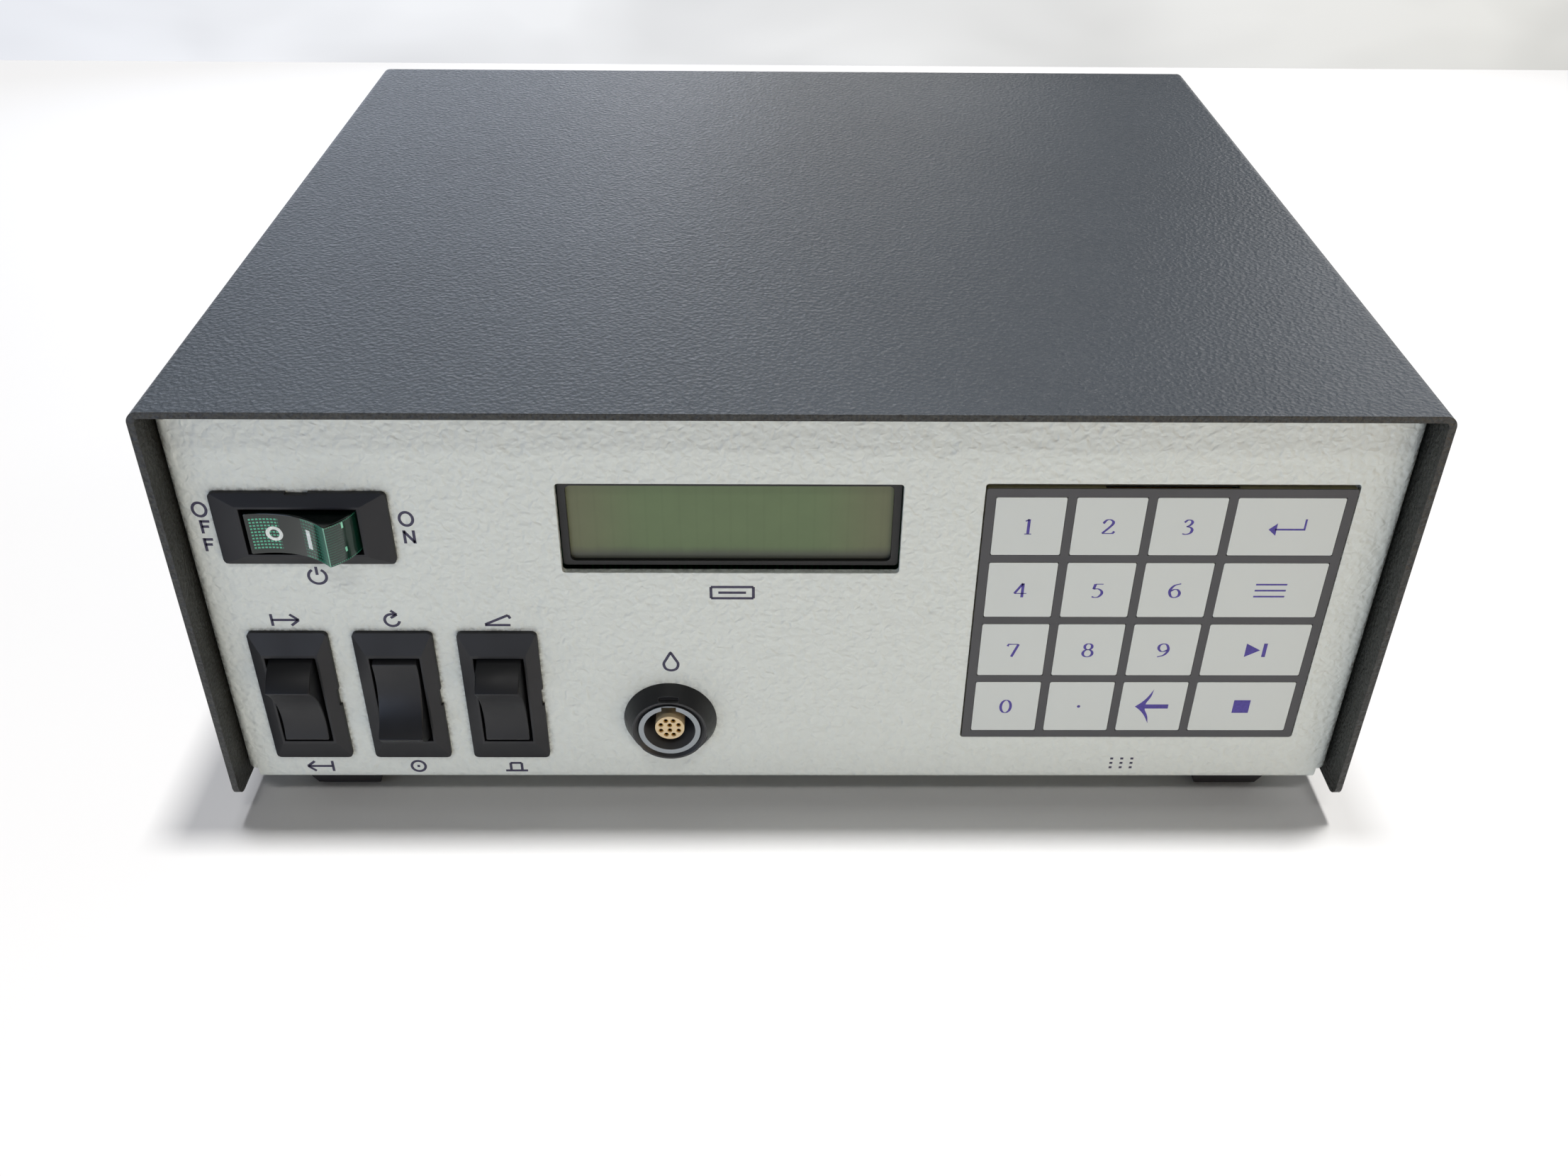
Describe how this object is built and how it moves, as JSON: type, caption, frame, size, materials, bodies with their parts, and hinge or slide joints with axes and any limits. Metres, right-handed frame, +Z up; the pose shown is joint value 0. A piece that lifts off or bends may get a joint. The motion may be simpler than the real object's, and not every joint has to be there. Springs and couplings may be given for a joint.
{
  "type": "fluid dispenser controller",
  "caption": "Bench controller box with a sheet metal cover, front panel with rocker switches, a text display, a membrane keypad and a round socket, on rubber feet.",
  "frame": {"origin": "on the bench, under the middle of the box", "axes": "+X to the right along the front panel, +Y from front to back, +Z up"},
  "size_m": [0.264, 0.2319, 0.1104],
  "materials": {
    "panel_paint": "pebbled light grey enamel",
    "cover_paint": "textured slate grey powder coat",
    "black_steel": "black oxide",
    "zinc_steel": "zinc plated",
    "rubber": "matte",
    "switch_plastic": "fine satin",
    "lens_plastic": "translucent green",
    "lamp_glass": "clear",
    "blade_brass": "bright",
    "lcd_frame_steel": "black satin",
    "lcd_glass": "anti-glare polarizer",
    "backlight_plastic": "milky",
    "circuit_board": "green solder mask",
    "keypad_laminate": "cut edge",
    "keypad_print": "matte screen print",
    "key_film": "matte polyester film",
    "tail_film": "amber film",
    "backer_aluminium": "mill finish",
    "socket_metal": "matte chrome",
    "socket_nut": "black chrome",
    "insert_plastic": "moulded",
    "black_plastic": "moulded",
    "core_steel": "varnished laminations",
    "coil_wrap": "yellow tape"
  },
  "bodies": {
    "case": {"base": "panel_paint", "front_panel": "panel_paint", "rear_panel": "panel_paint", "cover": "cover_paint", "cover_screws": "black_steel", "clinch_nuts": "zinc_steel", "feet": "rubber", "foot_screws": "zinc_steel", "power_switch_housing": "switch_plastic", "power_switch_blades": "blade_brass", "power_lamp": "lamp_glass", "selector_housings": "switch_plastic", "selector_blades": "blade_brass", "lcd_frame": "lcd_frame_steel", "lcd_glass": "lcd_glass", "lcd_backlight": "backlight_plastic", "lcd_board": "circuit_board", "lcd_standoffs": "zinc_steel", "keypad_backer": "backer_aluminium", "keypad_circuit": "keypad_laminate", "keypad_film": "keypad_print", "keypad_tail": "tail_film", "socket_shell": "socket_metal", "socket_front_nut": "socket_nut", "socket_rear_nut": "zinc_steel", "socket_insert": "insert_plastic", "socket_contacts": "blade_brass", "inlet_body": "black_plastic", "inlet_pins": "blade_brass", "jack_body": "black_plastic", "jack_nut": "zinc_steel", "main_board": "circuit_board", "board_parts": "black_plastic", "board_standoffs": "blade_brass", "heatsink": "backer_aluminium", "small_fasteners": "zinc_steel", "transformer_core": "core_steel", "transformer_coil": "coil_wrap", "transformer_strap": "zinc_steel"},
    "power_rocker": {"power_rocker": "lens_plastic"},
    "jog_rocker": {"jog_rocker": "switch_plastic"},
    "mode_rocker": {"mode_rocker": "switch_plastic"},
    "trigger_rocker": {"trigger_rocker": "switch_plastic"},
    "key_1": {"key_1": "key_film"},
    "key_2": {"key_2": "key_film"},
    "key_3": {"key_3": "key_film"},
    "key_enter": {"key_enter": "key_film"},
    "key_4": {"key_4": "key_film"},
    "key_5": {"key_5": "key_film"},
    "key_6": {"key_6": "key_film"},
    "key_program": {"key_program": "key_film"},
    "key_7": {"key_7": "key_film"},
    "key_8": {"key_8": "key_film"},
    "key_9": {"key_9": "key_film"},
    "key_next": {"key_next": "key_film"},
    "key_0": {"key_0": "key_film"},
    "key_dot": {"key_dot": "key_film"},
    "key_back": {"key_back": "key_film"},
    "key_stop": {"key_stop": "key_film"},
    "fuse_drawer": {"fuse_drawer": "black_plastic"}
  },
  "joints": [
    {"name": "power_tilt", "type": "hinge", "parent": "case", "child": "power_rocker", "pos_m": [-0.1024, -0.10665, 0.0798], "axis": [0, 0, 1], "range_deg": [0, 32]},
    {"name": "jog_tilt", "type": "hinge", "parent": "case", "child": "jog_rocker", "pos_m": [-0.11125, -0.10665, 0.0342], "axis": [1, 0, 0], "range_deg": [-32, 0]},
    {"name": "mode_tilt", "type": "hinge", "parent": "case", "child": "mode_rocker", "pos_m": [-0.0882, -0.10665, 0.0342], "axis": [1, 0, 0], "range_deg": [0, 32]},
    {"name": "trigger_tilt", "type": "hinge", "parent": "case", "child": "trigger_rocker", "pos_m": [-0.06515, -0.10665, 0.0342], "axis": [1, 0, 0], "range_deg": [-32, 0]},
    {"name": "key_1_press", "type": "slide", "parent": "case", "child": "key_1", "axis": [0, 1, 0], "range_m": [0, 0.00035], "stiffness_N_per_m": 4300},
    {"name": "key_2_press", "type": "slide", "parent": "case", "child": "key_2", "axis": [0, 1, 0], "range_m": [0, 0.00035], "stiffness_N_per_m": 4300},
    {"name": "key_3_press", "type": "slide", "parent": "case", "child": "key_3", "axis": [0, 1, 0], "range_m": [0, 0.00035], "stiffness_N_per_m": 4300},
    {"name": "key_enter_press", "type": "slide", "parent": "case", "child": "key_enter", "axis": [0, 1, 0], "range_m": [0, 0.00035], "stiffness_N_per_m": 4300},
    {"name": "key_4_press", "type": "slide", "parent": "case", "child": "key_4", "axis": [0, 1, 0], "range_m": [0, 0.00035], "stiffness_N_per_m": 4300},
    {"name": "key_5_press", "type": "slide", "parent": "case", "child": "key_5", "axis": [0, 1, 0], "range_m": [0, 0.00035], "stiffness_N_per_m": 4300},
    {"name": "key_6_press", "type": "slide", "parent": "case", "child": "key_6", "axis": [0, 1, 0], "range_m": [0, 0.00035], "stiffness_N_per_m": 4300},
    {"name": "key_program_press", "type": "slide", "parent": "case", "child": "key_program", "axis": [0, 1, 0], "range_m": [0, 0.00035], "stiffness_N_per_m": 4300},
    {"name": "key_7_press", "type": "slide", "parent": "case", "child": "key_7", "axis": [0, 1, 0], "range_m": [0, 0.00035], "stiffness_N_per_m": 4300},
    {"name": "key_8_press", "type": "slide", "parent": "case", "child": "key_8", "axis": [0, 1, 0], "range_m": [0, 0.00035], "stiffness_N_per_m": 4300},
    {"name": "key_9_press", "type": "slide", "parent": "case", "child": "key_9", "axis": [0, 1, 0], "range_m": [0, 0.00035], "stiffness_N_per_m": 4300},
    {"name": "key_next_press", "type": "slide", "parent": "case", "child": "key_next", "axis": [0, 1, 0], "range_m": [0, 0.00035], "stiffness_N_per_m": 4300},
    {"name": "key_0_press", "type": "slide", "parent": "case", "child": "key_0", "axis": [0, 1, 0], "range_m": [0, 0.00035], "stiffness_N_per_m": 4300},
    {"name": "key_dot_press", "type": "slide", "parent": "case", "child": "key_dot", "axis": [0, 1, 0], "range_m": [0, 0.00035], "stiffness_N_per_m": 4300},
    {"name": "key_back_press", "type": "slide", "parent": "case", "child": "key_back", "axis": [0, 1, 0], "range_m": [0, 0.00035], "stiffness_N_per_m": 4300},
    {"name": "key_stop_press", "type": "slide", "parent": "case", "child": "key_stop", "axis": [0, 1, 0], "range_m": [0, 0.00035], "stiffness_N_per_m": 4300},
    {"name": "fuse_drawer_slide", "type": "slide", "parent": "case", "child": "fuse_drawer", "axis": [0, 1, 0], "range_m": [0, 0.016]}
  ]
}
